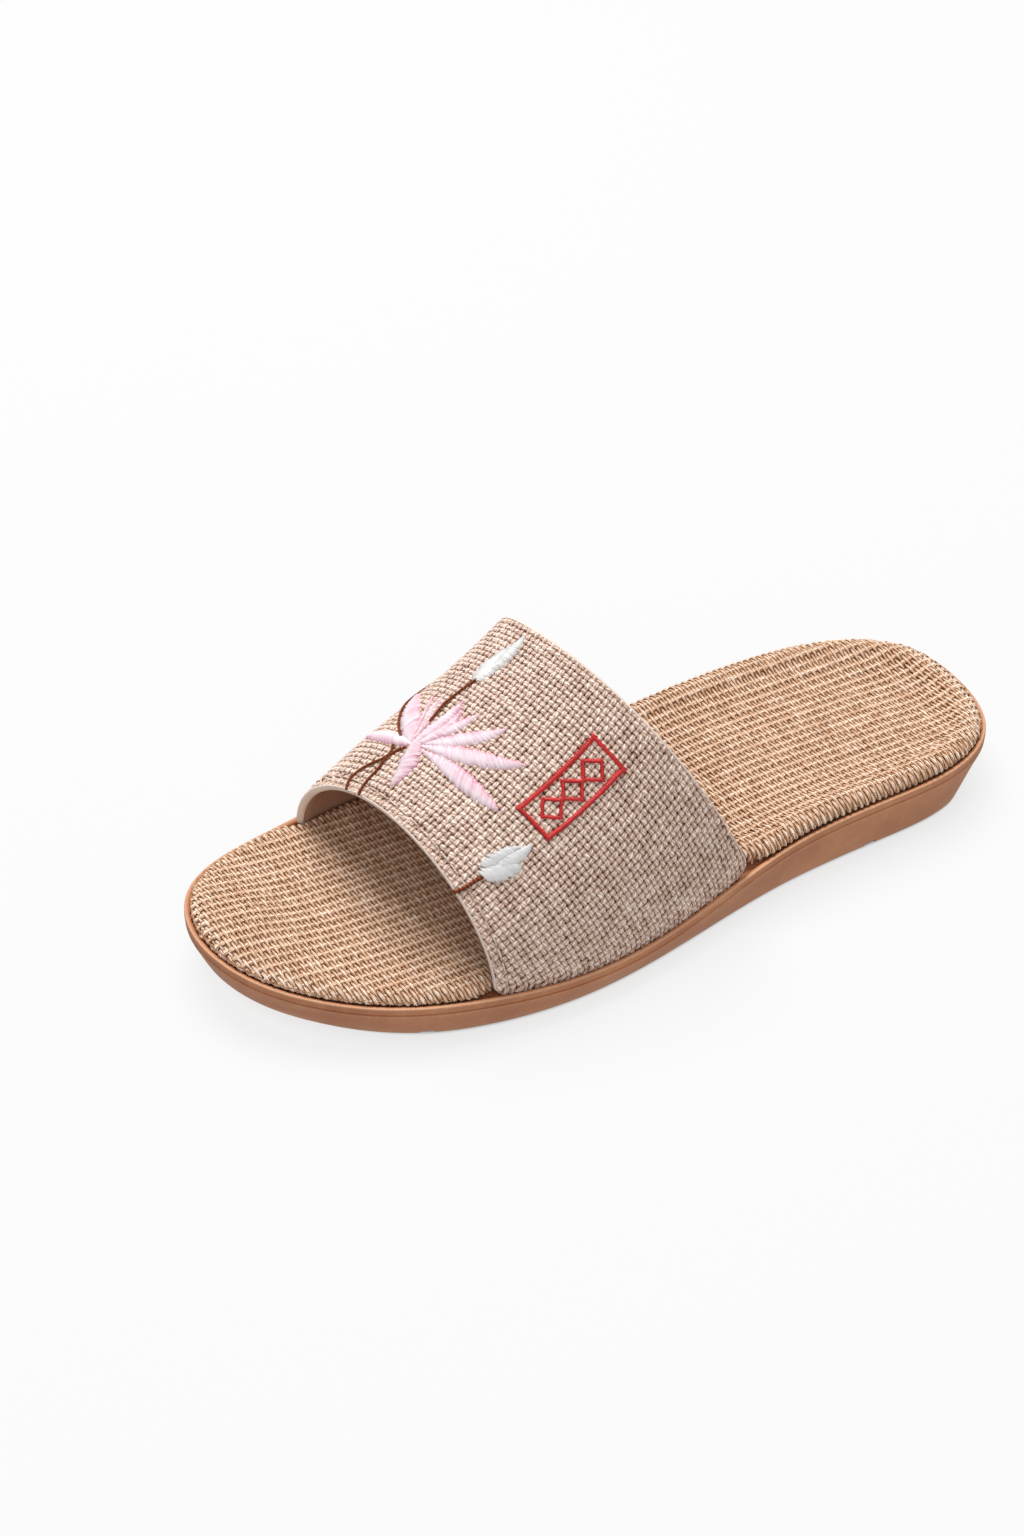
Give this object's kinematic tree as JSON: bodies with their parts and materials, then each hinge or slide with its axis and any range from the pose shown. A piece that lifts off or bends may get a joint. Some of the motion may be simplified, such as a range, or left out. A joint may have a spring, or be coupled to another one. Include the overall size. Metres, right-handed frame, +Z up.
{
  "type": "beach sandal",
  "caption": "Open-toe slide sandal for the left foot: moulded rubber sole with a beaded rim, woven straw-coloured footbed and a wide embroidered linen band over the forefoot.",
  "frame": {"origin": "on the floor, under the middle of the shoe's box", "axes": "+X from the heel to the toe, +Y to the wearer's left, which is the lateral side, +Z up"},
  "size_m": [0.26, 0.1008, 0.0846],
  "materials": {
    "outsole_rubber": "satin moulded terracotta brown",
    "insole_weave": "coarse straw-coloured weave",
    "strap_linen": "greige plain-weave linen with satin-stitch embroidery"
  },
  "bodies": {
    "root": {"outsole": "outsole_rubber", "insole": "insole_weave", "strap": "strap_linen"}
  },
  "joints": []
}
